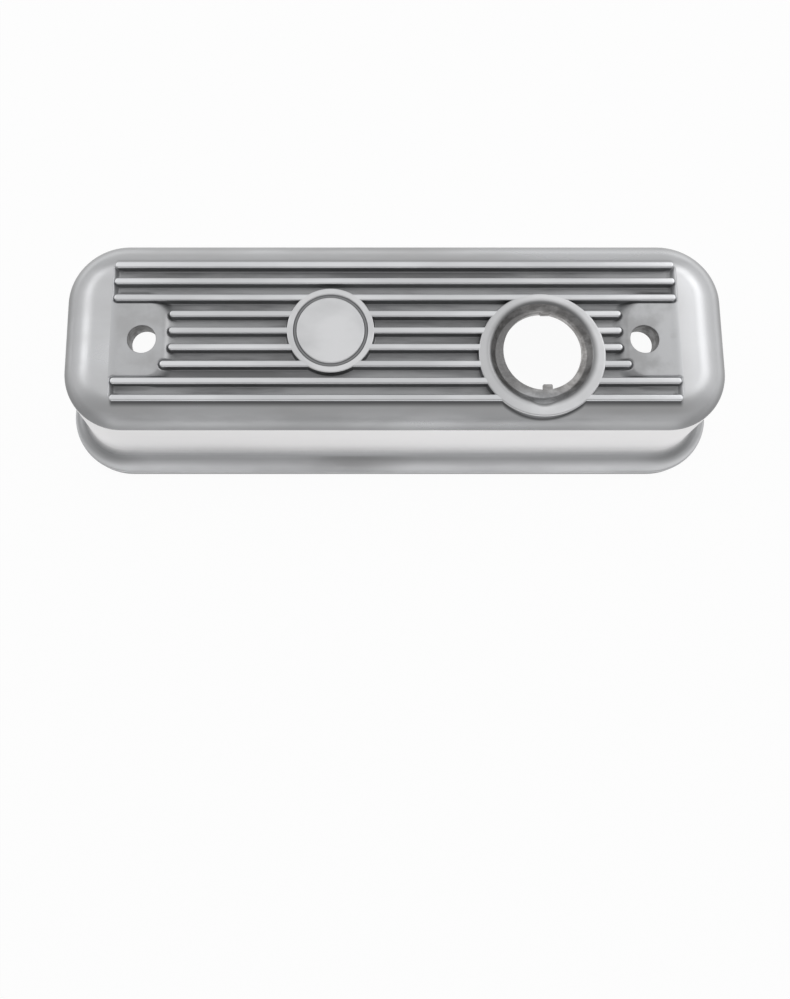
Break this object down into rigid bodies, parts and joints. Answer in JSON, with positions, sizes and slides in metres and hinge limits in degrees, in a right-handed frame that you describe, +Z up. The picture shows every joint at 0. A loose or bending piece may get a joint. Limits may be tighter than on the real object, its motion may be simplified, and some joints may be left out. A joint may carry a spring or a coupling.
{
  "type": "engine valve cover",
  "caption": "Deep ribbed cast aluminium engine valve cover with a gasket flange, an oil filler collar and pads for its holding studs.",
  "frame": {"origin": "middle of the gasket face", "axes": "+Z up through the top of the cover, +X along the cover towards the filler end, -Y towards the side where the filler collar overhangs"},
  "size_m": [0.448, 0.158, 0.078],
  "materials": {
    "cast_aluminium": "tumbled satin casting, linished bright on the ribs, rim and flange"
  },
  "bodies": {
    "root": {"cover_casting": "cast_aluminium"}
  },
  "joints": []
}
